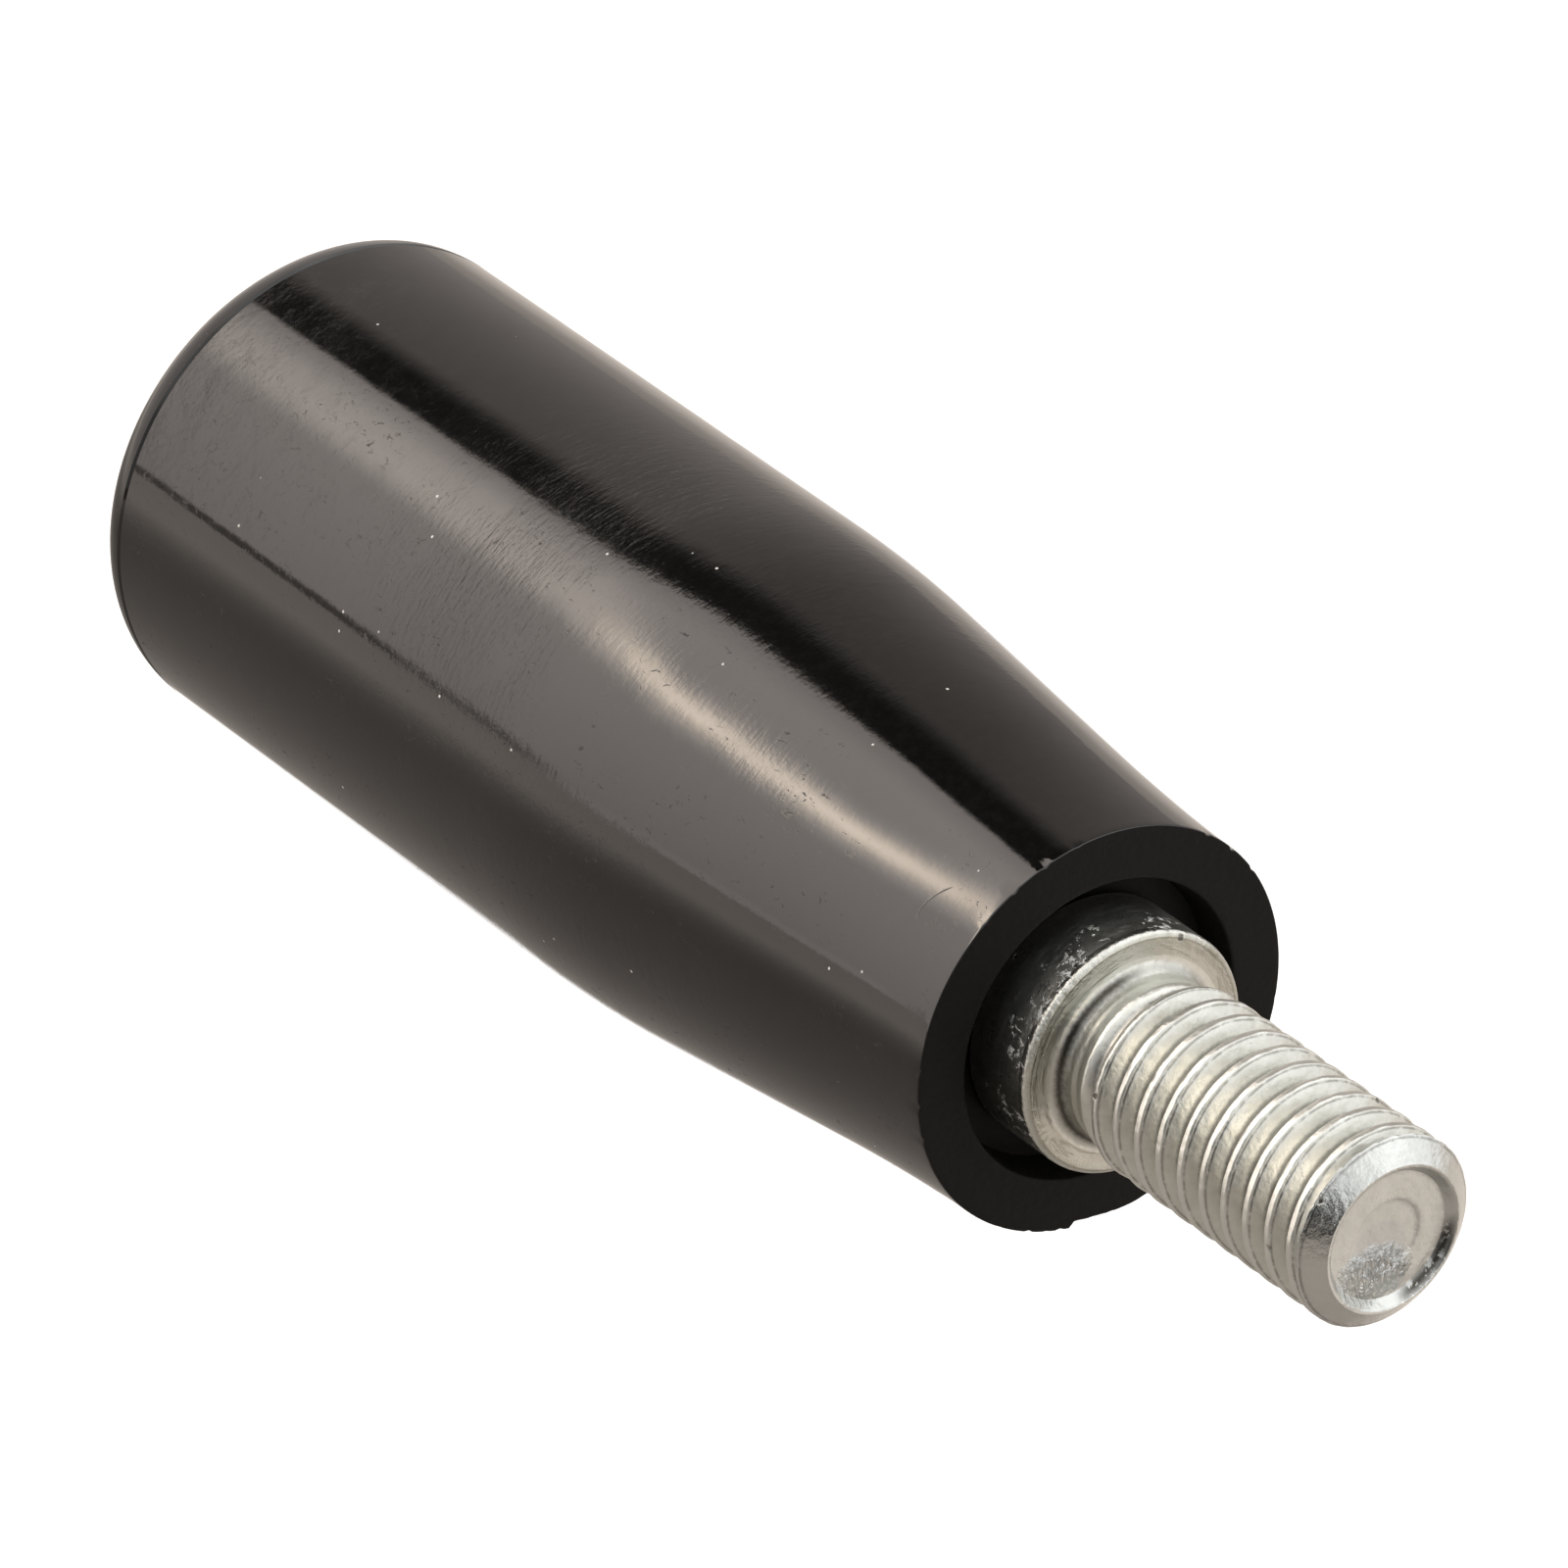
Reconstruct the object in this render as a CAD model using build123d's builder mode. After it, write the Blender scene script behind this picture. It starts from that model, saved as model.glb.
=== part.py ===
from build123d import *
import os
from math import cos, radians, sin, tan

# Revolving machine handle: a moulded grip that turns freely on a collared steel spindle.
# Sizes are in millimetres. The common axis is X and the threaded stud points to +X. The origin is the
# centre of the collar's front face, which seats on the lever or wheel that the stud is screwed into.

# Threaded stud, at the thread's outside diameter
thread_diameter = 6.0
stud_length = 12.0
neck_diameter = 5.2
neck_length = 1.5
neck_fillet_beyond_thread = 0.05
tip_diameter = 4.3
tip_chamfer_length = 0.7

# Dish that rolling leaves in the stud's end
dish_diameter = 3.8
dish_floor_diameter = 2.4
dish_depth = 0.35

# Collar
collar_diameter = 7.6
collar_thickness = 2.8
collar_stand_out = 1.6
collar_rim_radius = 0.15
collar_back_chamfer = 0.2

# Shank inside the grip
shank_diameter = 6.0
shank_length = 31.0
shank_end_chamfer = 0.6

# Retaining ring of flat spring wire, and the pair of grooves that it sits in
wire_thickness = 0.8
wire_width = 0.8
ring_middle_diameter = 5.8
ring_gap_angle = 32.0
ring_from_shank_end = 3.0
groove_side_clearance = 0.1
groove_depth_clearance = 0.25

# Outside of the grip: a short flare behind the front face, a straight taper, an easy bend, a straight rear
grip_length = 40.0
grip_diameter = 15.8
front_diameter = 12.7
front_angle = 2.0
taper_angle = 6.0
flare_length = 6.0
bend_radius = 52.0
rear_rim_radius = 1.3

# Inside of the grip: a recess round the collar, then the blind bore
mouth_diameter = 9.4
mouth_chamfer = 0.1
recess_floor_diameter = 9.1
running_clearance = 0.05
end_play = 0.1
bore_entry_chamfer = 0.5
bore_end_gap = 1.5
bore_end_chamfer = 0.8

# Places along the axis that the pieces share
collar_back_x = -collar_thickness
shank_end_x = collar_back_x - shank_length
ring_x = shank_end_x + ring_from_shank_end
grip_face_x = -collar_stand_out
grip_rear_x = grip_face_x - grip_length
recess_floor_x = collar_back_x - end_play
bore_end_x = shank_end_x - bore_end_gap

# Radii of the fit between shank, ring and bore
thread_radius = thread_diameter / 2
neck_radius = neck_diameter / 2
neck_fillet = thread_radius + neck_fillet_beyond_thread - neck_radius
collar_radius = collar_diameter / 2
shank_radius = shank_diameter / 2
ring_inner_radius = (ring_middle_diameter - wire_thickness) / 2
ring_outer_radius = (ring_middle_diameter + wire_thickness) / 2
bore_radius = shank_radius + running_clearance
shank_groove_radius = ring_inner_radius - groove_depth_clearance
bore_groove_radius = ring_outer_radius + groove_depth_clearance
shank_groove_half_width = wire_width / 2 + groove_side_clearance
bore_groove_half_width = shank_groove_half_width + end_play

# Tangent points of the grip's outline
grip_radius = grip_diameter / 2
front_radius = front_diameter / 2
front_slope = radians(front_angle)
taper_slope = radians(taper_angle)
flare_radius = flare_length / (sin(taper_slope) - sin(front_slope))
taper_start_x = grip_face_x - flare_length
taper_start_radius = front_radius + flare_radius * (cos(front_slope) - cos(taper_slope))
taper_end_radius = grip_radius - bend_radius * (1 - cos(taper_slope))
taper_end_x = taper_start_x - (taper_end_radius - taper_start_radius) / tan(taper_slope)
bend_end_x = taper_end_x - bend_radius * sin(taper_slope)


def rim(piece, x, radius):
    """The round edge of a turned piece at one place along the axis."""
    circles = piece.edges().filter_by(GeomType.CIRCLE)
    return circles.filter_by(
        lambda edge: abs(edge.arc_center.X - x) < 0.001 and abs(edge.radius - radius) < 0.001
    )


os.makedirs("parts", exist_ok=True)

# Spindle: stud, neck, collar and grooved shank, turned from one bar
with BuildPart() as spindle:
    with BuildSketch():
        with BuildLine():
            Polyline(
                (shank_end_x, 0),
                (shank_end_x, shank_radius - shank_end_chamfer),
                (shank_end_x + shank_end_chamfer, shank_radius),
                (ring_x - shank_groove_half_width, shank_radius),
                (ring_x - shank_groove_half_width, shank_groove_radius),
                (ring_x + shank_groove_half_width, shank_groove_radius),
                (ring_x + shank_groove_half_width, shank_radius),
                (collar_back_x, shank_radius),
                (collar_back_x, collar_radius - collar_back_chamfer),
                (collar_back_x + collar_back_chamfer, collar_radius),
                (0, collar_radius),
                (0, neck_radius),
                (neck_length, neck_radius),
                (neck_length + thread_radius - neck_radius, thread_radius),
                (stud_length - tip_chamfer_length, thread_radius),
                (stud_length, tip_diameter / 2),
                (stud_length, dish_diameter / 2),
                (stud_length - dish_depth, dish_floor_diameter / 2),
                (stud_length - dish_depth, 0),
                close=True,
            )
        make_face()
    revolve(axis=Axis.X)
    fillet(rim(spindle, 0, collar_radius), collar_rim_radius)
    fillet(rim(spindle, 0, neck_radius), neck_fillet)
spindle.part.label = "spindle"
export_step(spindle.part, "parts/spindle.step")

# Retaining ring: an open flat ring, half in the shank's groove and half in the bore's, its gap facing down
ring_start = radians(270 + ring_gap_angle / 2)
ring_start_plane = Plane(origin=(ring_x, 0, 0), x_dir=(1, 0, 0), z_dir=(0, -sin(ring_start), cos(ring_start)))
with BuildPart() as retaining_ring:
    with BuildSketch(ring_start_plane):
        with Locations((0, (ring_inner_radius + ring_outer_radius) / 2)):
            Rectangle(wire_width, wire_thickness)
    revolve(axis=Axis.X, revolution_arc=360 - ring_gap_angle)
retaining_ring.part.label = "retaining_ring"
export_step(retaining_ring.part, "parts/retaining_ring.step")

# Grip: one moulding, revolved from its outline, recess, blind bore and ring groove
with BuildPart() as grip:
    with BuildSketch():
        with BuildLine():
            flare = TangentArc(
                (grip_face_x, front_radius),
                (taper_start_x, taper_start_radius),
                tangent=(-cos(front_slope), sin(front_slope)),
            )
            taper = Line(flare @ 1, (taper_end_x, taper_end_radius))
            bend = TangentArc(taper @ 1, (bend_end_x, grip_radius), tangent=taper % 1)
            Polyline(
                bend @ 1,
                (grip_rear_x, grip_radius),
                (grip_rear_x, 0),
                (bore_end_x, 0),
                (bore_end_x, bore_radius - bore_end_chamfer),
                (bore_end_x + bore_end_chamfer, bore_radius),
                (ring_x - bore_groove_half_width, bore_radius),
                (ring_x - bore_groove_half_width, bore_groove_radius),
                (ring_x + bore_groove_half_width, bore_groove_radius),
                (ring_x + bore_groove_half_width, bore_radius),
                (recess_floor_x - bore_entry_chamfer, bore_radius),
                (recess_floor_x, bore_radius + bore_entry_chamfer),
                (recess_floor_x, recess_floor_diameter / 2),
                (grip_face_x - mouth_chamfer, mouth_diameter / 2),
                (grip_face_x, mouth_diameter / 2 + mouth_chamfer),
                (grip_face_x, front_radius),
            )
        make_face()
    revolve(axis=Axis.X)
    fillet(rim(grip, grip_rear_x, grip_radius), rear_rim_radius)
grip.part.label = "grip"
export_step(grip.part, "parts/grip.step")
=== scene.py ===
import json
import math

import bpy
import numpy as np
from mathutils import Matrix, Vector


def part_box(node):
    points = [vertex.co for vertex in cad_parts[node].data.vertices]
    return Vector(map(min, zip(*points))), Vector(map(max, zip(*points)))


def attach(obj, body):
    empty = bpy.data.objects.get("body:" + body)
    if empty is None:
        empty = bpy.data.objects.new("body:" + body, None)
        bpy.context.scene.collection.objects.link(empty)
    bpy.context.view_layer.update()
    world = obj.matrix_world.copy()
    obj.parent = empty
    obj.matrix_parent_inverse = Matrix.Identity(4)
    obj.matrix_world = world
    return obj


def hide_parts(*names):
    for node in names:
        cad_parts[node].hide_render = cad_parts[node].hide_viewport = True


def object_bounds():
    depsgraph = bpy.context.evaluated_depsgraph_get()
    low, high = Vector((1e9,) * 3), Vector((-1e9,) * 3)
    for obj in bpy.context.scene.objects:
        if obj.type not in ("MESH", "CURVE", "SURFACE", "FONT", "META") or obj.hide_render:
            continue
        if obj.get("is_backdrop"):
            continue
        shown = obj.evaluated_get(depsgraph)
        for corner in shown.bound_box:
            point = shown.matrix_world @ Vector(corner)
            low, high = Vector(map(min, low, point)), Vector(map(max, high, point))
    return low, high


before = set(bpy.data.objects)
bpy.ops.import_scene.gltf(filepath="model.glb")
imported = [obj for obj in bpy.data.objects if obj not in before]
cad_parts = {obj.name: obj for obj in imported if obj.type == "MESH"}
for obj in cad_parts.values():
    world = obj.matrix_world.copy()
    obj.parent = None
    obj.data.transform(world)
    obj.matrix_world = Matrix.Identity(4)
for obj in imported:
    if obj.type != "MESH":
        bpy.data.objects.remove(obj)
cad_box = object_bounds()

# A short machine handle: a black moulded grip that turns on a zinc-plated threaded spindle.
# Sizes are in millimetres and become metres through MM. The axis is X and the threaded stud points to +X.
MM = 0.001


def box_in_mm(node):
    """The lowest and highest corners of a solid, in millimetres."""
    low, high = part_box(node)
    return low / MM, high / MM


# Places and outside sizes that the solids give
GRIP_LOW, GRIP_HIGH = box_in_mm("grip")
SPINDLE_LOW, SPINDLE_HIGH = box_in_mm("spindle")
RING_LOW, RING_HIGH = box_in_mm("retaining_ring")
GRIP_REAR_X = GRIP_LOW.x
GRIP_FACE_X = GRIP_HIGH.x
GRIP_RADIUS = GRIP_HIGH.z
SHANK_END_X = SPINDLE_LOW.x
STUD_END_X = SPINDLE_HIGH.x
COLLAR_RADIUS = SPINDLE_HIGH.z
RING_X = (RING_LOW.x + RING_HIGH.x) / 2

# Outside of the grip
FRONT_RADIUS = 6.35
FRONT_SLOPE = math.radians(2)
TAPER_SLOPE = math.radians(6)
FLARE_LENGTH = 6.0
BEND_RADIUS = 52.0
REAR_RIM_RADIUS = 1.3
REAR_LINE_X = -40.2
REAR_LINE_WIDTH = 0.16
REAR_LINE_DEPTH = 0.05
FRONT_RIM_RADIUS = 0.03

# Chips round the front face's outer edge, and one long chip given by degrees from the bottom and depths
CHIPPED_LENGTH = 0.3
CHIPPED_BEYOND_RADIUS = 6.15
SMALL_CHIP_DEPTH = 0.12
LONG_CHIP_DEGREES = [-9.0, -7.5, 1.0, 4.0, 12.0]
LONG_CHIP_DEPTHS = [0.0, 0.2, 0.15, 0.09, 0.0]

# Handling marks on the grip
WORN_FRONT_X = -10.0
WORN_REAR_X = -27.0
SCRATCH_X = -3.83
SCRATCH_Z = 4.5
SCRATCH_WIDTH = 0.022

# Inside of the grip
MOUTH_RADIUS = 4.7
MOUTH_RIM_RADIUS = 0.08
RECESS_FLOOR_RADIUS = 4.55
RECESS_FLOOR_X = -2.9
BORE_RADIUS = 3.05
BORE_ENTRY_CHAMFER = 0.5
BORE_END_X = SHANK_END_X - 1.5
BORE_END_CHAMFER = 0.8
BORE_GROOVE_RADIUS = 3.55
BORE_GROOVE_HALF_WIDTH = 0.6

# Spindle
COLLAR_BACK_X = -2.8
COLLAR_BACK_CHAMFER = 0.2
COLLAR_RIM_RADIUS = 0.2
SHANK_RADIUS = 3.0
SHANK_CHAMFER = 0.6
SHANK_GROOVE_RADIUS = 2.25
SHANK_GROOVE_HALF_WIDTH = 0.5
NECK_RADIUS = 2.6
NECK_FILLET = 0.45

# Rolled thread, M6 with a pitch of 1 mm
THREAD_RADIUS = 3.0
THREAD_ROOT_RADIUS = 2.42
THREAD_PITCH = 1.0
THREAD_START_X = 0.55
THREAD_RUN_IN = 1.6
THREAD_CREST_WIDTH = 0.15
THREAD_ROUNDING = 0.08
THREAD_FIRST_CREST_X = -0.44
THREAD_UNEVENNESS = 0.075

# The stud's end: a chamfer, a dish that is a little deeper in the middle, a crumpled patch and a stain
TIP_RADIUS = 2.3
TIP_CHAMFER = 0.6
DISH_RADIUS = 2.17
DISH_FLOOR_RADIUS = 2.0
DISH_DEPTH = 0.3
DISH_MIDDLE_RADIUS = 1.15
DISH_MIDDLE_DEPTH = 0.035
CRUMPLED_Y = -0.5
CRUMPLED_Z = -1.1
STAIN_Y = -0.25
STAIN_Z = -0.45

# Where the camera looks from, and the white sheet that fills its view of the floor
CAMERA_AZIMUTH = math.radians(54.6)
CAMERA_ELEVATION = math.radians(30.4)
FLOOR_Z = -150.0
SHEET_X = -232.0
SHEET_Y = 153.0
SHEET_HALF_WIDTH = 47.0
SHEET_HALF_LENGTH = 84.0

# How finely round pieces are divided, and from which angle an edge stays sharp
GRIP_COLUMNS = 240
SPINDLE_COLUMNS = 160
THREAD_ROWS_PER_TURN = 28
SHARP_ANGLE = math.radians(32)


class Wire:
    """One socket of a node tree. Sums and products of wires add the Math nodes that work them out."""

    def __init__(self, graph, socket):
        self.graph = graph
        self.socket = socket

    def of(self, output):
        """Another output of the node that this wire leaves."""
        return Wire(self.graph, self.socket.node.outputs[output])

    def __add__(self, other):
        return self.graph.maths("ADD", self, other)

    def __sub__(self, other):
        return self.graph.maths("SUBTRACT", self, other)

    def __mul__(self, other):
        return self.graph.maths("MULTIPLY", self, other)

    def __truediv__(self, other):
        return self.graph.maths("DIVIDE", self, other)

    def __rsub__(self, other):
        return self.graph.maths("SUBTRACT", other, self)

    def __rtruediv__(self, other):
        return self.graph.maths("DIVIDE", other, self)

    def __neg__(self):
        return self.graph.maths("MULTIPLY", self, -1.0)

    def __abs__(self):
        return self.graph.maths("ABSOLUTE", self)

    __radd__ = __add__
    __rmul__ = __mul__


class Graph:
    """A node tree that is written as expressions."""

    def __init__(self, tree):
        self.tree = tree
        tree.nodes.clear()

    def add(self, kind, inputs=None, **settings):
        """Any node: its settings first, then the values or wires of its sockets. Gives its first output."""
        node = self.tree.nodes.new(kind)
        for name, value in settings.items():
            setattr(node, name, value)
        for name, value in (inputs or {}).items():
            for one in value if isinstance(value, list) else [value]:
                if isinstance(one, Wire):
                    self.tree.links.new(one.socket, node.inputs[name])
                else:
                    node.inputs[name].default_value = one
        return Wire(self, node.outputs[0]) if node.outputs else node

    def maths(self, operation, *values):
        return self.add("ShaderNodeMath", dict(enumerate(values)), operation=operation)

    def smallest(self, a, b, rounding=0.0):
        return self.maths("SMOOTH_MIN", a, b, rounding) if rounding else self.maths("MINIMUM", a, b)

    def largest(self, a, b, rounding=0.0):
        return self.maths("SMOOTH_MAX", a, b, rounding) if rounding else self.maths("MAXIMUM", a, b)

    def length(self, a, b):
        """The length of a step with the parts a and b, which lie square to each other."""
        return self.maths("SQRT", a * a + b * b)

    def rise(self, value, low, high, start=0.0, end=1.0):
        """A smooth step from start to end while value goes from low to high."""
        ends = {"Value": value, "From Min": low, "From Max": high, "To Min": start, "To Max": end}
        return self.add("ShaderNodeMapRange", ends, interpolation_type="SMOOTHSTEP")

    def bell(self, value, centre, width):
        """A bell curve, 1 at its centre."""
        off = (value - centre) / width
        return self.maths("EXPONENT", off * off * -0.5)

    def mix(self, share, a, b):
        """From one colour to the other."""
        return self.add("ShaderNodeMix", {0: share, 6: a, 7: b}, data_type="RGBA").of(2)

    def noise(self, place, scale, detail=3.0, roughness=0.5, distortion=0.0):
        values = {"Vector": place, "Scale": scale, "Detail": detail, "Roughness": roughness}
        return self.add("ShaderNodeTexNoise", {**values, "Distortion": distortion})

    def join(self, x, y, z):
        return self.add("ShaderNodeCombineXYZ", {0: x, 1: y, 2: z})

    def split(self, vector):
        x = self.add("ShaderNodeSeparateXYZ", {0: vector})
        return x, x.of(1), x.of(2)


def grey(value):
    return value, value, value, 1.0


# Outlines, as lists of (x, radius) points that run with the solid on their right

def straight(start, end, steps):
    """Points from start to end, without the first."""
    shares = [(step + 1) / steps for step in range(steps)]
    return [(start[0] + (end[0] - start[0]) * s, start[1] + (end[1] - start[1]) * s) for s in shares]


def arc(centre, radius, start, end, steps):
    """Points round a centre from one angle to another, in degrees, without the first."""
    angles = [math.radians(start + (end - start) * (step + 1) / steps) for step in range(steps)]
    return [(centre[0] + radius * math.cos(a), centre[1] + radius * math.sin(a)) for a in angles]


def grip_outline():
    """The grip's outline from the middle of its rear, round the outside and front, to its bore's end."""
    rim, front, mouth = REAR_RIM_RADIUS, FRONT_RIM_RADIUS, MOUTH_RIM_RADIUS
    flare_radius = FLARE_LENGTH / (math.sin(TAPER_SLOPE) - math.sin(FRONT_SLOPE))
    taper_start = (
        GRIP_FACE_X - FLARE_LENGTH,
        FRONT_RADIUS + flare_radius * (math.cos(FRONT_SLOPE) - math.cos(TAPER_SLOPE)),
    )
    taper_end_radius = GRIP_RADIUS - BEND_RADIUS * (1 - math.cos(TAPER_SLOPE))
    taper_length = (taper_end_radius - taper_start[1]) / math.tan(TAPER_SLOPE)
    taper_end = (taper_start[0] - taper_length, taper_end_radius)
    bend_end = (taper_end[0] - BEND_RADIUS * math.sin(TAPER_SLOPE), GRIP_RADIUS)
    bend_centre = (bend_end[0], GRIP_RADIUS - BEND_RADIUS)
    flare_centre = (
        GRIP_FACE_X + flare_radius * math.sin(FRONT_SLOPE),
        FRONT_RADIUS + flare_radius * math.cos(FRONT_SLOPE),
    )
    taper_angle, front_angle = math.degrees(TAPER_SLOPE), math.degrees(FRONT_SLOPE)
    bore_groove = RING_X - BORE_GROOVE_HALF_WIDTH, RING_X + BORE_GROOVE_HALF_WIDTH

    points = [(GRIP_REAR_X, 0.0)]
    points += straight(points[-1], (GRIP_REAR_X, GRIP_RADIUS - rim), 8)
    points += arc((GRIP_REAR_X + rim, GRIP_RADIUS - rim), rim, 180, 90, 16)
    points += [(REAR_LINE_X - REAR_LINE_WIDTH / 2, GRIP_RADIUS)]
    points += [(REAR_LINE_X, GRIP_RADIUS - REAR_LINE_DEPTH)]
    points += [(REAR_LINE_X + REAR_LINE_WIDTH / 2, GRIP_RADIUS)]
    points += straight(points[-1], bend_end, 26)
    points += arc(bend_centre, BEND_RADIUS, 90, 90 - taper_angle, 22)
    points += straight(points[-1], taper_start, 14)
    points += arc(flare_centre, flare_radius, 270 - taper_angle, 270 - front_angle, 20)[:-1]
    points += [(GRIP_FACE_X - 2 * front, FRONT_RADIUS + 2 * front * math.tan(FRONT_SLOPE))]
    points += arc((GRIP_FACE_X - front, FRONT_RADIUS - front), front, 90, 0, 5)
    points += straight(points[-1], (GRIP_FACE_X, MOUTH_RADIUS + mouth), 8)
    points += arc((GRIP_FACE_X - mouth, MOUTH_RADIUS + mouth), mouth, 360, 270, 5)
    points += straight(points[-1], (RECESS_FLOOR_X, RECESS_FLOOR_RADIUS), 8)
    points += straight(points[-1], (RECESS_FLOOR_X, BORE_RADIUS + BORE_ENTRY_CHAMFER), 4)
    points += [(RECESS_FLOOR_X - BORE_ENTRY_CHAMFER, BORE_RADIUS), (bore_groove[1], BORE_RADIUS)]
    points += [(bore_groove[1], BORE_GROOVE_RADIUS), (bore_groove[0], BORE_GROOVE_RADIUS)]
    points += [(bore_groove[0], BORE_RADIUS), (BORE_END_X + BORE_END_CHAMFER, BORE_RADIUS)]
    points += [(BORE_END_X, BORE_RADIUS - BORE_END_CHAMFER), (BORE_END_X, 0.0)]
    return points


def chipped_front(xs, radii, angles):
    """Small chips all round the outer edge of the front face, and a longer one at the bottom."""
    near_front = np.clip((xs - GRIP_FACE_X) / CHIPPED_LENGTH + 1.0, 0.0, 1.0)
    near_front = near_front * (radii > CHIPPED_BEYOND_RADIUS)
    waves = np.sin(angles * 31) * np.sin(angles * 17 + 1.0) * np.sin(angles * 53 + 2.0)
    small_chips = np.clip(waves - 0.35, 0.0, 1.0) * SMALL_CHIP_DEPTH
    long_chip = np.interp(np.degrees(angles) - 270, LONG_CHIP_DEGREES, LONG_CHIP_DEPTHS)
    return xs, radii - near_front * (long_chip + small_chips)


def spindle_rear_outline():
    """The spindle's outline from the middle of its inner end to the end of its neck."""
    groove = RING_X - SHANK_GROOVE_HALF_WIDTH, RING_X + SHANK_GROOVE_HALF_WIDTH
    rim = COLLAR_RIM_RADIUS
    points = [(SHANK_END_X, 0.0), (SHANK_END_X, SHANK_RADIUS - SHANK_CHAMFER)]
    points += [(SHANK_END_X + SHANK_CHAMFER, SHANK_RADIUS), (groove[0], SHANK_RADIUS)]
    points += [(groove[0], SHANK_GROOVE_RADIUS), (groove[1], SHANK_GROOVE_RADIUS)]
    points += [(groove[1], SHANK_RADIUS), (COLLAR_BACK_X, SHANK_RADIUS)]
    points += [(COLLAR_BACK_X, COLLAR_RADIUS - COLLAR_BACK_CHAMFER)]
    points += [(COLLAR_BACK_X + COLLAR_BACK_CHAMFER, COLLAR_RADIUS)]
    points += straight(points[-1], (-rim, COLLAR_RADIUS), 30)
    points += arc((-rim, COLLAR_RADIUS - rim), rim, 90, 0, 8)
    points += straight(points[-1], (0.0, NECK_RADIUS + NECK_FILLET), 8)
    points += arc((NECK_FILLET, NECK_RADIUS + NECK_FILLET), NECK_FILLET, 180, 270, 10)
    points += straight(points[-1], (THREAD_START_X, NECK_RADIUS), 2)
    return points


def dish_outline():
    """The dish in the stud's end: a narrow rim, a steep wall, and a floor a little deeper in the middle."""
    floor_x = STUD_END_X - DISH_DEPTH
    points = [(STUD_END_X, TIP_RADIUS), (STUD_END_X, DISH_RADIUS + 0.05)]
    points += [(STUD_END_X - 0.015, DISH_RADIUS + 0.015), (STUD_END_X - 0.05, DISH_RADIUS - 0.01)]
    points += [(floor_x + 0.05, DISH_FLOOR_RADIUS + 0.01), (floor_x + 0.012, DISH_FLOOR_RADIUS - 0.02)]
    points += [(floor_x, DISH_FLOOR_RADIUS - 0.07)]
    points += straight(points[-1], (floor_x, DISH_MIDDLE_RADIUS), 8)
    points += straight(points[-1], (floor_x - DISH_MIDDLE_DEPTH, DISH_MIDDLE_RADIUS - 0.12), 3)
    points += straight(points[-1], (floor_x - DISH_MIDDLE_DEPTH, 0.0), 10)
    return points


# Meshes

def round_mesh(name, outlines, columns, worn=None):
    """Outlines swept round the X axis. worn takes x, radius and angle, and gives a new x and radius."""
    angles = np.arange(columns) * (2 * math.pi / columns)
    vertices, faces = [], []
    for outline in outlines:
        rings = []
        for x, radius in outline:
            if radius < 1e-6:
                rings.append([len(vertices)] * columns)
                vertices.append((x * MM, 0.0, 0.0))
                continue
            rings.append(range(len(vertices), len(vertices) + columns))
            xs, radii = np.full(columns, float(x)), np.full(columns, float(radius))
            if worn:
                xs, radii = worn(xs, radii, angles)
            around = np.stack([xs, radii * np.cos(angles), radii * np.sin(angles)], 1) * MM
            vertices += [tuple(point) for point in around]
        for first, second in zip(rings, rings[1:]):
            for column in range(columns):
                after = (column + 1) % columns
                square = [first[column], first[after], second[after], second[column]]
                faces.append([corner for turn, corner in enumerate(square) if corner != square[turn - 1]])
    mesh = bpy.data.meshes.new(name)
    mesh.from_pydata(vertices, [], faces)
    mesh.validate()
    return mesh


def piece(name, mesh):
    """An object at the origin, shaded smooth apart from its sharp edges."""
    mesh.shade_smooth()
    mesh.set_sharp_from_angle(angle=SHARP_ANGLE)
    made = bpy.data.objects.new(name, mesh)
    bpy.context.scene.collection.objects.link(made)
    return made


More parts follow.
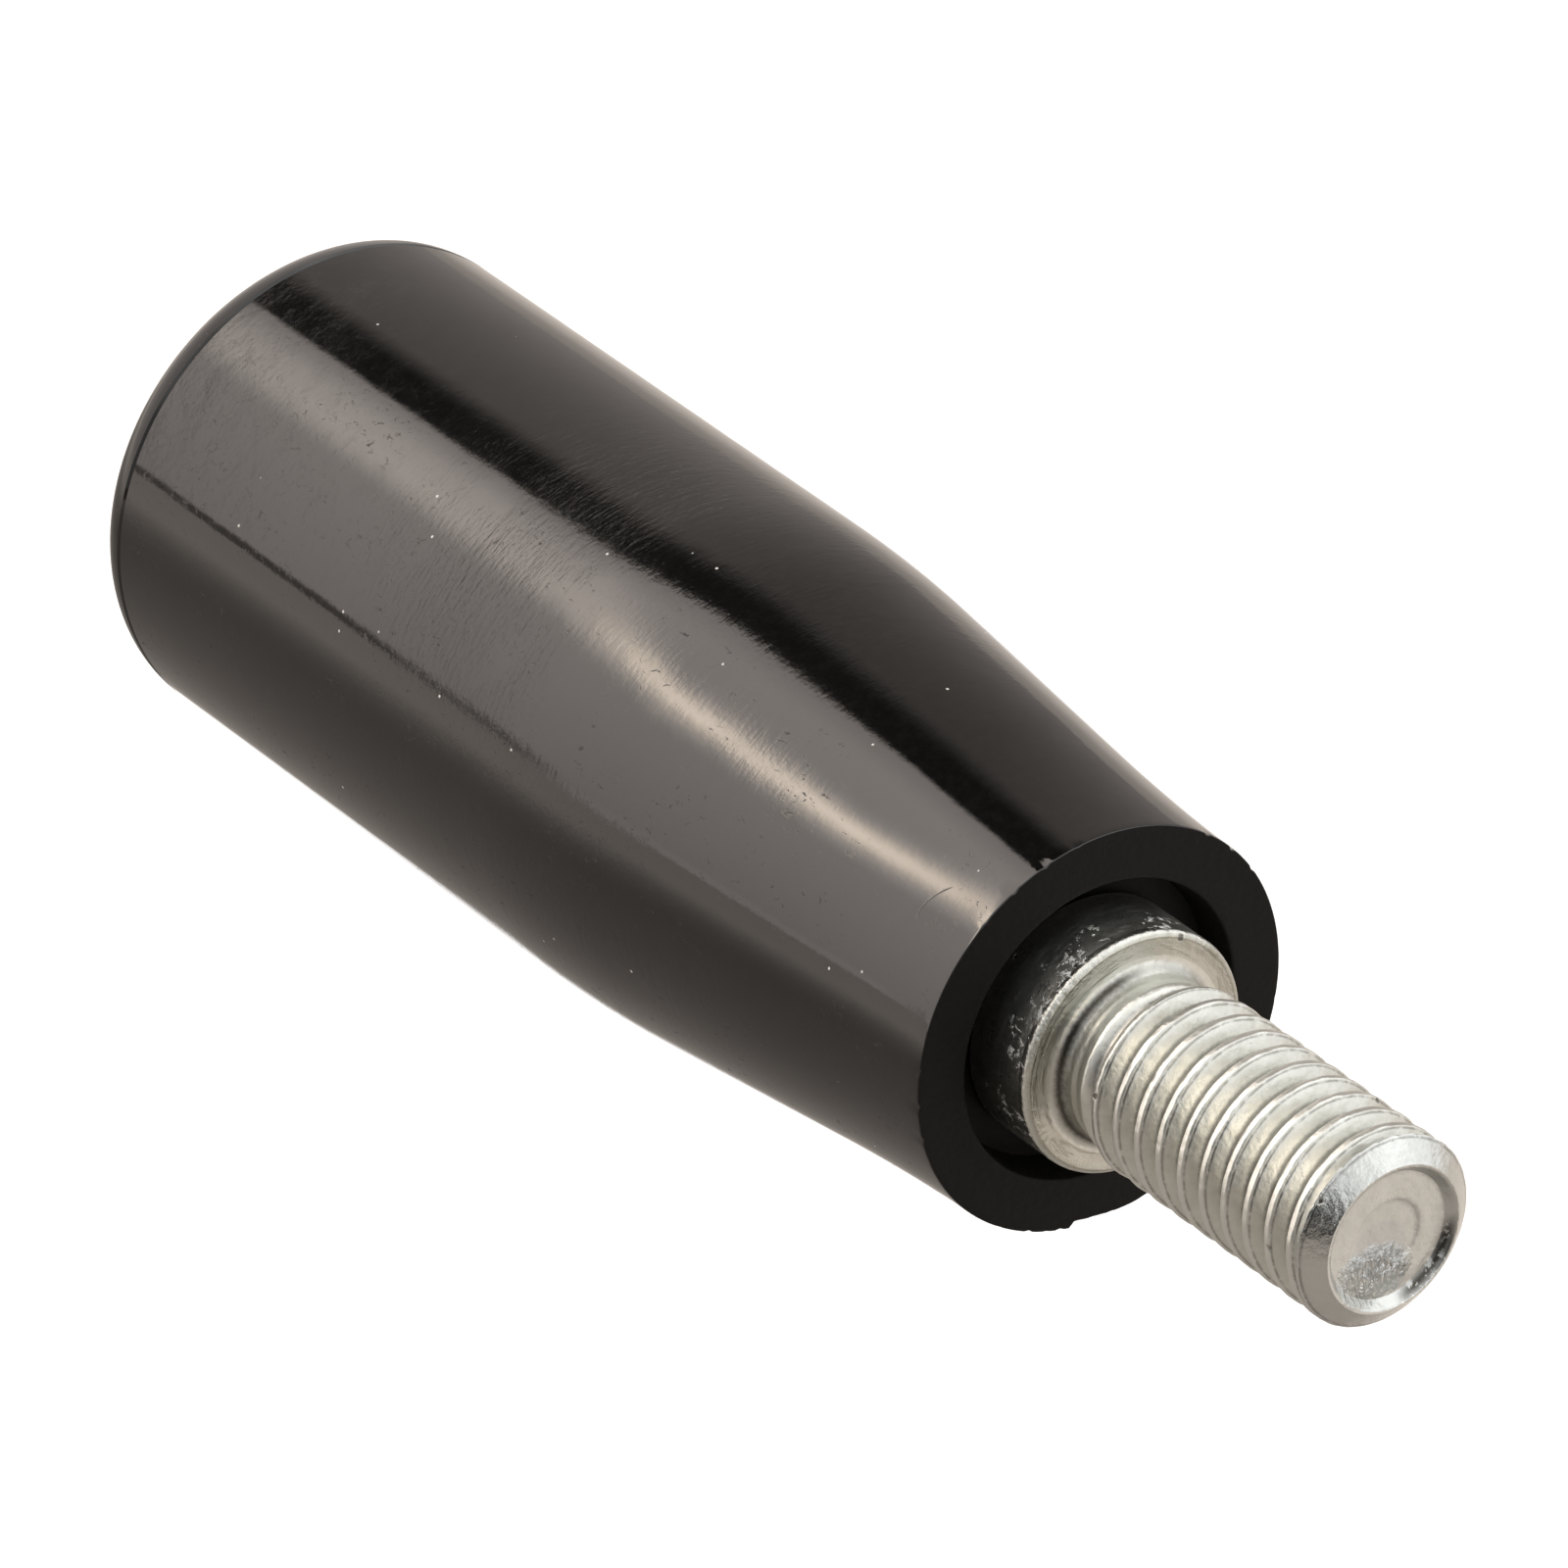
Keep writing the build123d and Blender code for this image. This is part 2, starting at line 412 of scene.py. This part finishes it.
def thread_tree(material):
    """Geometry nodes that roll a thread between the two ends of a turned blank and close the body."""
    tree = bpy.data.node_groups.new("rolled_thread", "GeometryNodeTree")
    graph = Graph(tree)
    lengths = {
        "Outside radius": THREAD_RADIUS, "Root radius": THREAD_ROOT_RADIUS, "Blank radius": NECK_RADIUS,
        "Tip radius": TIP_RADIUS, "Pitch": THREAD_PITCH, "Start": THREAD_START_X, "End": STUD_END_X,
        "Run in": THREAD_RUN_IN, "Chamfer": TIP_CHAMFER, "Crest width": THREAD_CREST_WIDTH,
        "Rounding": THREAD_ROUNDING, "First crest": THREAD_FIRST_CREST_X, "Unevenness": THREAD_UNEVENNESS,
    }
    counts = {"Columns": SPINDLE_COLUMNS, "Rows per turn": THREAD_ROWS_PER_TURN}
    tree.interface.new_socket("Blank", in_out="INPUT", socket_type="NodeSocketGeometry")
    for name in lengths:
        tree.interface.new_socket(name, in_out="INPUT", socket_type="NodeSocketFloat")
    for name in counts:
        tree.interface.new_socket(name, in_out="INPUT", socket_type="NodeSocketInt")
    tree.interface.new_socket("Geometry", in_out="OUTPUT", socket_type="NodeSocketGeometry")
    given = graph.add("NodeGroupInput")
    pitch, start, end = given.of("Pitch"), given.of("Start"), given.of("End")
    outside, root, blank = given.of("Outside radius"), given.of("Root radius"), given.of("Blank radius")
    columns, rows_per_turn = given.of("Columns"), given.of("Rows per turn")

    # A strip that winds along the helix, one row per step of the profile, and ends in flat circles
    turns = (end - start) / pitch
    rows = graph.maths("CEIL", (turns + 1) * rows_per_turn) + 1
    divisions = {"Size X": 1.0, "Size Y": 1.0, "Vertices X": rows, "Vertices Y": columns + 1}
    grid = graph.add("GeometryNodeMeshGrid", divisions)
    across, round_share, _ = graph.split(graph.add("GeometryNodeInputPosition"))
    round_share = round_share + 0.5
    wound = (across + 0.5) * (rows - 1) / rows_per_turn - 1 + round_share
    x = start + graph.smallest(graph.largest(wound, 0.0), turns) * pitch
    angle = round_share * (2 * math.pi)
    side, height = graph.maths("COSINE", angle), graph.maths("SINE", angle)

    # The thread's own profile: a crest, two flanks at 60 degrees and a round root
    phase = (x - given.of("First crest")) / pitch - round_share
    off_crest = abs(phase - graph.maths("ROUND", phase)) * pitch
    flank = outside - (off_crest - given.of("Crest width") / 2) * math.tan(math.radians(60))
    profile = graph.largest(flank, root, given.of("Rounding"))
    uneven = graph.noise(graph.join(x, side * 3.0, height * 3.0), 1.6, 3.0) - 0.5
    crest = outside - given.of("Unevenness") * 0.5 + uneven * given.of("Unevenness")
    profile = graph.smallest(profile, crest, given.of("Rounding"))

    # The thread grows out of the blank over its run in and runs out over the chamfer
    grown = graph.rise(x, start, start + given.of("Run in"))
    profile = blank + (profile - blank) * grown
    filled = graph.rise(x, end - given.of("Chamfer") * 1.25, end - given.of("Chamfer") * 0.9)
    profile = profile + (outside - profile) * filled
    chamfer = given.of("Tip radius") + (end - x) / given.of("Chamfer") * (outside - given.of("Tip radius"))
    profile = graph.smallest(profile, chamfer, given.of("Rounding") * 0.5 * graph.rise(end - x, 0.0, 0.2))

    place = graph.join(x * MM, profile * side * MM, profile * height * MM)
    strip = graph.add("GeometryNodeSetPosition", {"Geometry": grid, "Position": place})
    strip = graph.add("GeometryNodeFlipFaces", {"Mesh": strip})
    body = graph.add("GeometryNodeJoinGeometry", {0: [strip, given.of("Blank")]})
    body = graph.add("GeometryNodeMergeByDistance", {"Geometry": body, "Distance": 0.0005 * MM})
    body = graph.add("GeometryNodeRealizeInstances", {"Geometry": body})
    body = graph.add("GeometryNodeSetMaterial", {"Geometry": body, "Material": material})
    graph.add("NodeGroupOutput", {"Geometry": body})
    return tree, {**lengths, **counts}


def grown_mesh(name, blank, tree, values):
    """The plain mesh that a node tree makes of a blank."""
    holder = bpy.data.objects.new(name + "_blank", blank)
    bpy.context.scene.collection.objects.link(holder)
    modifier = holder.modifiers.new("thread", "NODES")
    modifier.node_group = tree
    for item in tree.interface.items_tree:
        if item.in_out == "INPUT" and item.name in values:
            modifier[item.identifier] = values[item.name]
    evaluated = holder.evaluated_get(bpy.context.evaluated_depsgraph_get())
    mesh = bpy.data.meshes.new_from_object(evaluated)
    mesh.name = name
    bpy.data.objects.remove(holder)
    return mesh


# Materials

def surface(name):
    """A new material. Gives its graph, the place on the piece in millimetres, and what finishes it."""
    material = bpy.data.materials.new(name)
    material.use_nodes = True
    graph = Graph(material.node_tree)

    def finish(bump=None, **values):
        """Sets the shader's values. bump is a height in millimetres."""
        inputs = {key.replace("_", " "): value for key, value in values.items()}
        if bump:
            relief = {"Height": bump, "Distance": MM, "Strength": 1.0}
            inputs["Normal"] = graph.add("ShaderNodeBump", relief)
        shader = graph.add("ShaderNodeBsdfPrincipled", inputs)
        graph.add("ShaderNodeOutputMaterial", {"Surface": shader})
        return material

    place = graph.add("ShaderNodeTexCoord").of("Object")
    place = graph.add("ShaderNodeVectorMath", {0: place, "Scale": 1 / MM}, operation="SCALE")
    return graph, place, finish


def moulded_grip_material():
    graph, place, finish = surface("black_phenolic")
    x, y, z = graph.split(place)
    radius = graph.length(y, z)

    # Waves of the moulding, and fine polishing lines round the worn middle
    worn = graph.rise(x, WORN_FRONT_X + 3.0, WORN_FRONT_X - 3.0)
    worn = worn * graph.rise(x, WORN_REAR_X - 5.0, WORN_REAR_X + 5.0)
    worn = worn * graph.rise(graph.noise(place, 0.25, 3.0), 0.3, 0.5)
    wave = graph.noise(place, 0.35, 1.0) * 0.006 + graph.noise(place, 1.3, 2.0) * 0.002
    wave = wave + graph.noise(place, 6.0, 3.0, 0.6) * (0.0008 + worn * 0.0022)
    polished = graph.noise(graph.join(x * 6.0, y * 1.2, z * 1.2), 1.0, 3.0, 0.6)
    wave = wave + polished * (0.0004 + worn * 0.0056)

    haze = graph.rise(graph.noise(place, 0.2, 5.0, 0.65), 0.42, 0.68)
    smears = graph.rise(graph.noise(place, 1.1, 6.0, 0.7, 1.5), 0.5, 0.75)
    roughness = 0.045 + haze * 0.015 + smears * 0.015 + worn * 0.04

    # Dull pits in patches on the side towards -Y, a curved scratch near the front, and settled dust
    patch = graph.rise(graph.noise(place, 0.45, 2.0), 0.42, 0.56) * graph.rise(-y / radius, 0.36, 0.44)
    pitted = graph.noise(graph.join(x, y * 1.6, z * 1.6), 3.0, 3.0, 0.7, 0.8)
    pit = graph.rise(pitted, 0.6, 0.7) * patch
    height = z - SCRATCH_Z
    scratch = graph.bell(x - height * height, SCRATCH_X, SCRATCH_WIDTH) * graph.rise(y, -3.0, -3.6)
    scratch = scratch * graph.rise(height, -0.3, -0.1) * graph.rise(height, 0.7, 0.55)
    dull = graph.largest(pit, scratch)
    specks = graph.add("ShaderNodeTexVoronoi", {"Vector": place, "Scale": 1.0, "Randomness": 1.0})
    speck = graph.rise(specks, 0.06, 0.03) * graph.rise(graph.split(specks.of("Color"))[1], 0.5, 0.51)
    mottle = graph.rise(graph.noise(place, 2.6, 5.0, 0.7), 0.4, 0.7)
    dark = graph.mix(mottle, (0.0046, 0.0042, 0.0039, 1), (0.0068, 0.0063, 0.0058, 1))
    colour = graph.mix(speck, dark, (0.6, 0.58, 0.55, 1))
    roughness = roughness + speck * 0.4 + dull * 0.5
    bump = wave + smears * 0.0003 - pit * 0.001 - scratch * 0.003
    return finish(Base_Color=colour, Roughness=roughness, IOR=1.6, bump=bump)


def cut_phenolic_material():
    graph, place, finish = surface("dull_phenolic")
    grain = graph.noise(place, 4.0, 3.0)
    colour = graph.mix(grain, (0.0055, 0.0047, 0.0042, 1), (0.0075, 0.0066, 0.006, 1))
    roughness = 0.5 + grain * 0.1
    return finish(Base_Color=colour, Roughness=roughness, Specular_IOR_Level=0.12, bump=grain * 0.02)


def thread_marks(graph, place, radius, grain, mottle):
    """Masks of the thread: all of it, grime and painted shade along its root, a dark line beside its crests
    that is partly grime and partly painted shade, crests with a painted highlight towards the bottom, and
    nicks.
    """
    x, _, z = graph.split(place)
    threaded = graph.rise(x, THREAD_START_X - 0.25, THREAD_START_X + 0.05)
    threaded = threaded * graph.rise(x, STUD_END_X - 0.3, STUD_END_X - 0.5)
    # Darkening in the thread's root: grime, and painted shade where the root is hidden in shadow
    root = radius + (grain - 0.5) * 0.1
    root = graph.rise(root, THREAD_ROOT_RADIUS + 0.17, THREAD_ROOT_RADIUS + 0.05) * threaded
    # A dark line beside the crests: partly grime, partly painted shade
    edge = graph.bell(radius + (grain - 0.5) * 0.03, THREAD_RADIUS - 0.115, 0.022)
    edge = edge * threaded * graph.rise(mottle, 0.3, 0.55)
    # Painted highlight on the crests, stronger towards the bottom
    crest = graph.rise(radius, THREAD_RADIUS - 0.13, THREAD_RADIUS - 0.06) * threaded
    crest = crest * graph.rise(z, 1.6, -0.8)
    cells = graph.add("ShaderNodeTexVoronoi", {"Vector": place, "Scale": 0.8, "Randomness": 1.0})
    nick = graph.rise(cells + (grain - 0.5) * 0.2, 0.1, 0.05)
    nick = nick * graph.rise(radius, THREAD_RADIUS - 0.3, THREAD_RADIUS - 0.15)
    return threaded, root, edge, crest, nick


def collar_marks(graph, place, radius, grain, turned):
    """Masks of the collar: its front face, rings on it, its side, pitted spots there that get painted
    glints, and painted shade in the neck's fillet, stronger towards -Y.
    """
    x, y, _ = graph.split(place)
    seat_radius = NECK_RADIUS + NECK_FILLET
    front = graph.rise(radius, seat_radius, seat_radius + 0.05)
    front = front * graph.rise(radius, COLLAR_RADIUS - 0.02, COLLAR_RADIUS - 0.12)
    front = front * graph.rise(x, -0.1, -0.03) * graph.rise(x, 0.1, 0.05)
    rings = graph.bell(radius, COLLAR_RADIUS - 0.17, 0.025) * 0.8 + graph.rise(turned, 0.52, 0.62) * 0.5
    side = graph.rise(x, -0.12, -0.2) * graph.rise(radius, SHANK_RADIUS + 0.1, SHANK_RADIUS + 0.3)
    # Pitted spots on the collar's side: bumped, and painted pale as glints
    pits_and_glints = graph.rise(graph.noise(place, 4.0, 3.0, 0.7), 0.55, 0.62)
    pits_and_glints = pits_and_glints * graph.rise(graph.noise(place, 0.7, 2.0), 0.47, 0.56)
    pits_and_glints = pits_and_glints * side * graph.rise(x, -1.5, -0.8)
    # Painted shade along the neck's fillet, stronger on the side towards -Y
    crease_shade = graph.bell(radius + (grain - 0.5) * 0.1, NECK_RADIUS + 0.12, 0.09) * graph.rise(x, 0.62, 0.5)
    crease_shade = crease_shade * graph.rise(y, 0.6, -0.9, 0.35, 1.0)
    return front, rings, side, pits_and_glints, crease_shade


def stud_end_marks(graph, place, radius, patches, mottle):
    """Masks of the stud's end: all of it, the crumpled patch, the stain, the rim, and painted shade in the
    dish's inner corner on one side.
    """
    x, y, z = graph.split(place)
    end = graph.rise(x, STUD_END_X - 0.9, STUD_END_X - 0.6)
    off_patch = graph.length((y - CRUMPLED_Y) * 0.656, z - CRUMPLED_Z)
    crumpled = graph.rise(off_patch + (mottle - 0.5) * 0.6, 0.95, 0.4) * end
    off_stain = graph.length(y - STAIN_Y, z - STAIN_Z) + (patches - 0.5) * 0.3
    stain = graph.rise(off_stain, 1.15, 0.85) * end
    rim = graph.rise(radius, DISH_RADIUS, DISH_RADIUS + 0.1) * end
    # Painted shade in the dish's inner corner, only on one side
    corner = graph.bell(radius, DISH_RADIUS - 0.1, 0.09) * end
    corner = corner * graph.rise(y * 0.75 - z * 0.66, 1.5, 1.9) * graph.rise(mottle, 0.38, 0.46)
    return end, crumpled, stain, rim, corner


def zinc_material():
    graph, place, finish = surface("zinc_plate")
    x, y, z = graph.split(place)
    radius = graph.length(y, z)
    grain = graph.noise(place, 7.0, 4.0, 0.6)
    ripple = graph.noise(place, 1.8, 2.0)
    patches = graph.noise(place, 0.8, 3.0)
    mottle = graph.noise(place, 3.0, 5.0, 0.65)
    turned = graph.noise(graph.join(x * 9.0 + radius * 5.0, y * 0.7, z * 0.7), 1.0, 4.0, 0.6)
    creases = graph.noise(graph.join(x, y * 2.4, z * 1.1), 2.6, 2.0, 0.5, 0.7)
    threaded, root, edge, crest, nick = thread_marks(graph, place, radius, grain, mottle)
    front, rings, side, pits_and_glints, crease_shade = collar_marks(graph, place, radius, grain, turned)
    end, crumpled, stain, rim, corner = stud_end_marks(graph, place, radius, patches, mottle)

    # Relief: the plating's grain all over, an uneven rim on the collar, and the marks
    relief = grain * 0.01 + ripple * 0.03 + turned * 0.006 * (1 - side) + mottle * 0.012
    collar_rim = graph.rise(x, -0.35, -0.15) * graph.rise(radius, 3.3, 3.6)
    relief = relief + collar_rim * mottle * 0.06 + front * rings * 0.02 + pits_and_glints * 0.05
    relief = relief + rim * mottle * 0.025 + crumpled * creases * 0.26 - nick * 0.02 - edge * 0.01

    # Colour: patchy grey, a painted highlight on the crests, a browner collar, a bluer end, then dirt mixed
    # with painted shade, and painted glints on the pits
    colour = graph.mix(patches, (0.775, 0.778, 0.735, 1), (0.64, 0.642, 0.59, 1))
    colour = graph.mix(graph.rise(mottle, 0.4, 0.7) * 0.35, colour, (0.55, 0.54, 0.48, 1))
    # Painted highlight on the crests
    colour = graph.mix(crest * 0.8, colour, (0.82, 0.825, 0.79, 1))
    colour = graph.mix(front * (0.4 + rings * 0.4), colour, (0.34, 0.325, 0.26, 1))
    colour = graph.mix(graph.largest(stain * 0.5, end * 0.3), colour, (0.5, 0.53, 0.57, 1))
    # Dark nicks, with painted shade in the root, beside the crests, in the neck's fillet and in the dish's
    # corner
    dirt_and_shade = graph.largest(graph.largest(root * 0.65, edge * 0.55), nick * 0.8)
    dirt_and_shade = graph.largest(dirt_and_shade, graph.largest(crease_shade, corner))
    colour = graph.mix(dirt_and_shade, colour, (0.09, 0.082, 0.07, 1))
    # Painted glints on the collar's pitted spots
    colour = graph.mix(pits_and_glints, colour, (0.75, 0.75, 0.73, 1))

    roughness = 0.2 + patches * 0.1 + grain * 0.08 + graph.rise(turned, 0.45, 0.7) * 0.06
    roughness = roughness + threaded * 0.04 - rim * 0.12
    return finish(Base_Color=colour, Metallic=1 - pits_and_glints * 0.8, Roughness=roughness, bump=relief)


def spring_wire_material():
    graph, place, finish = surface("spring_wire")
    drawn = graph.noise(place, 5.0, 3.0)
    colour = graph.mix(drawn, (0.30, 0.30, 0.31, 1), (0.42, 0.41, 0.40, 1))
    return finish(Base_Color=colour, Metallic=1.0, Roughness=0.3 + drawn * 0.2, bump=drawn * 0.004)


def floor_material():
    """A floor in painted light and shade: grey as painted shade round the handle, painted paler beyond the
    handle and under the tent, painted dark far behind the camera, with a white sheet where the camera
    looks.
    """
    graph, place, finish = surface("pale_floor")
    x, y, _ = graph.split(place)
    from_sheet_x, from_sheet_y = x - SHEET_X, y - SHEET_Y
    aside, ahead = math.cos(CAMERA_AZIMUTH), math.sin(CAMERA_AZIMUTH)
    across = from_sheet_x * aside + from_sheet_y * ahead
    along = from_sheet_y * aside - from_sheet_x * ahead
    off_sheet = graph.largest(abs(across) / SHEET_HALF_WIDTH, abs(along) / SHEET_HALF_LENGTH, 0.1)
    sheet = graph.rise(off_sheet, 1.16, 1.02)

    # The grey stands in for shade round the handle; the paler floor beyond the handle and under the tent is
    # painted light
    beyond = graph.rise(y, 40.0, 140.0) * graph.rise(y, 900.0, 350.0, 0.6, 1.0)
    plain = 0.27 + graph.rise(x, -60.0, 80.0) * 0.03 + beyond * 0.31
    lit_under_tent = graph.rise(x * -0.7 - y * 0.7, 350.0, 1000.0)
    plain = plain * (1 - lit_under_tent) + lit_under_tent * 0.85
    # Painted shade far behind the camera
    shaded_behind_camera = graph.rise(x * 0.76 - y * 0.64, 850.0, 1150.0)
    plain = plain * (1 - shaded_behind_camera * 0.85)

    tone = plain * (1 - sheet) + sheet * 0.98
    tint = graph.mix(sheet, (1.05, 0.98, 0.91, 1), (0.98, 1.0, 1.02, 1))
    return finish(Base_Color=graph.mix(tone, grey(0.0), tint), Roughness=1.0, Specular_IOR_Level=0.0)


# Stage: surroundings, floor and camera

def far_side_light(graph, x, y, z):
    """The room beyond the handle: a bright tent with a lamp strip in it, and a dim wall to its right."""
    # The tent's right edge is straight on a level ceiling, so the direction is followed up to that ceiling
    up = graph.largest(z, 0.03)
    beyond_edge = y / up - x / up * 0.159 - 0.187
    tent = 1.6 + graph.smallest(z, 0.8) * 1.35
    tent = tent * graph.rise(beyond_edge, -0.25, 0.0, 1.0, 0.75)

    # The strip is bright and narrow on the side of the stud, and fades into a wide veil towards the rear
    towards_left = graph.largest(-y / graph.maths("SQRT", x * x + y * y + 0.0001), 0.0)
    nearer = graph.rise(-x, 0.69, 0.60)
    core = graph.bell(z, 0.682, 0.028) * 8.2 * nearer
    veil = graph.rise(z, 0.55, 0.64) * graph.rise(z, 0.79, 0.68) * (4.6 - nearer * 2.9)
    strip = (core + veil) * towards_left

    inside = graph.rise(beyond_edge, -0.03, 0.02, 1.0, 0.0)
    horizon = graph.rise(z, 0.004, 0.02, graph.rise(-x, 0.60, 0.70, 1.1, 0.2), 1.0)
    wall = (0.33 + graph.largest(-x - 0.588, 0.0) * 1.36) * graph.rise(beyond_edge, 0.24, 0.54)
    room = (tent + strip) * inside * horizon + wall
    behind = graph.rise(-x, 0.737, 0.75)
    return room * (1 - behind) + behind * 0.95, strip


def near_side_light(graph, x, y, z):
    """The room on the camera's side: a card facing the stud, soft boxes, and the dark round the camera."""
    card = graph.rise(x, 0.78, 0.92) * 0.85
    right_box = (0.8 + graph.rise(z, 0.4, 0.6) * 0.45) * graph.rise(y, 0.1, 0.4)
    front_box = graph.rise(z, 0.42, 0.62) * graph.rise(y, 0.35, 0.1) * 0.5
    overhead = graph.rise(z, 0.86, 0.95) * 0.4
    room = 0.44 + card + right_box + front_box + overhead
    dark = graph.rise(x * 0.76 - y * 0.64 + z * 0.1, 0.89, 0.945)
    return room * (1 - dark) + dark * 0.02


def studio_light():
    """The surroundings. x, y and z are the parts of a step of length 1 away from the handle."""
    world = bpy.data.worlds.new("studio")
    bpy.context.scene.world = world
    world.use_nodes = True
    graph = Graph(world.node_tree)
    x, y, z = graph.split(graph.add("ShaderNodeTexCoord").of("Generated"))
    far_side, strip = far_side_light(graph, x, y, z)
    near_side = near_side_light(graph, x, y, z)
    far = graph.rise(-x, 0.1, 0.45)
    strength = far_side * far + near_side * (1 - far)
    warm = graph.mix(graph.rise(strip, 0.0, 4.0), (1.09, 0.985, 0.92, 1), (1.14, 0.98, 0.82, 1))
    colour = graph.mix(far, grey(1.0), warm)
    lit = graph.add("ShaderNodeBackground", {"Color": colour, "Strength": strength})
    graph.add("ShaderNodeOutputWorld", {"Surface": lit})


def floor():
    """A plain pale floor, well below the handle."""
    half = 4.0
    under = FLOOR_Z * MM
    mesh = bpy.data.meshes.new("floor")
    corners = [(-half, -half, under), (half, -half, under), (half, half, under), (-half, half, under)]
    mesh.from_pydata(corners, [], [(0, 1, 2, 3)])
    mesh.materials.append(floor_material())
    top = bpy.data.objects.new("floor", mesh)
    bpy.context.scene.collection.objects.link(top)
    top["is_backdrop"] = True


def camera():
    """A long lens, from the front left and above, with the stud towards the lower right of the frame."""
    right = Vector((math.cos(CAMERA_AZIMUTH), math.sin(CAMERA_AZIMUTH), 0.0))
    level_back = Vector((math.sin(CAMERA_AZIMUTH), -math.cos(CAMERA_AZIMUTH), 0.0))
    back = level_back * math.cos(CAMERA_ELEVATION) + Vector((0.0, 0.0, math.sin(CAMERA_ELEVATION)))
    up = back.cross(right)
    # The middle of the grip's front face, as the camera sees it
    face_right, face_down, face_away = 8.911, 6.932, 389.96
    place = Vector((GRIP_FACE_X, 0, 0)) - right * face_right + up * face_down + back * face_away
    data = bpy.data.cameras.new("camera")
    data.sensor_width = 36.0
    data.lens = 317.3
    data.clip_start, data.clip_end = 0.01, 100.0
    made = bpy.data.objects.new("camera", data)
    made.matrix_world = Matrix.Translation(place * MM) @ Matrix((right, up, back)).transposed().to_4x4()
    bpy.context.scene.collection.objects.link(made)
    bpy.context.scene.camera = made


def grip():
    mesh = round_mesh("moulded_grip", [grip_outline()], GRIP_COLUMNS, chipped_front)
    mesh.materials.append(moulded_grip_material())
    mesh.materials.append(cut_phenolic_material())
    # The front face and everything inside have the dull finish
    for face in mesh.polygons:
        middle = face.center / MM
        facing_front = face.normal.x > 0.9 and middle.x > GRIP_FACE_X - 0.02
        within_mouth = math.hypot(middle.y, middle.z) < MOUTH_RADIUS + MOUTH_RIM_RADIUS
        inside = within_mouth and middle.x > GRIP_REAR_X + 0.1
        face.material_index = 1 if facing_front or inside else 0
    made = piece("moulded_grip", mesh)
    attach(made, "grip")
    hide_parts("grip")


def spindle():
    material = zinc_material()
    blank = round_mesh("spindle_blank", [spindle_rear_outline(), dish_outline()], SPINDLE_COLUMNS)
    tree, values = thread_tree(material)
    made = piece("threaded_spindle", grown_mesh("threaded_spindle", blank, tree, values))
    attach(made, "spindle")
    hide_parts("spindle")


def retaining_ring():
    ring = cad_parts["retaining_ring"]
    ring.data.materials.clear()
    ring.data.materials.append(spring_wire_material())


bpy.context.scene.view_settings.view_transform = "Standard"
camera()
studio_light()
floor()
grip()
spindle()
retaining_ring()

for name, corners in (("cad", cad_box), ("visual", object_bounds())):
    json.dumps({name: [list(corner) for corner in corners]}) + "\n"
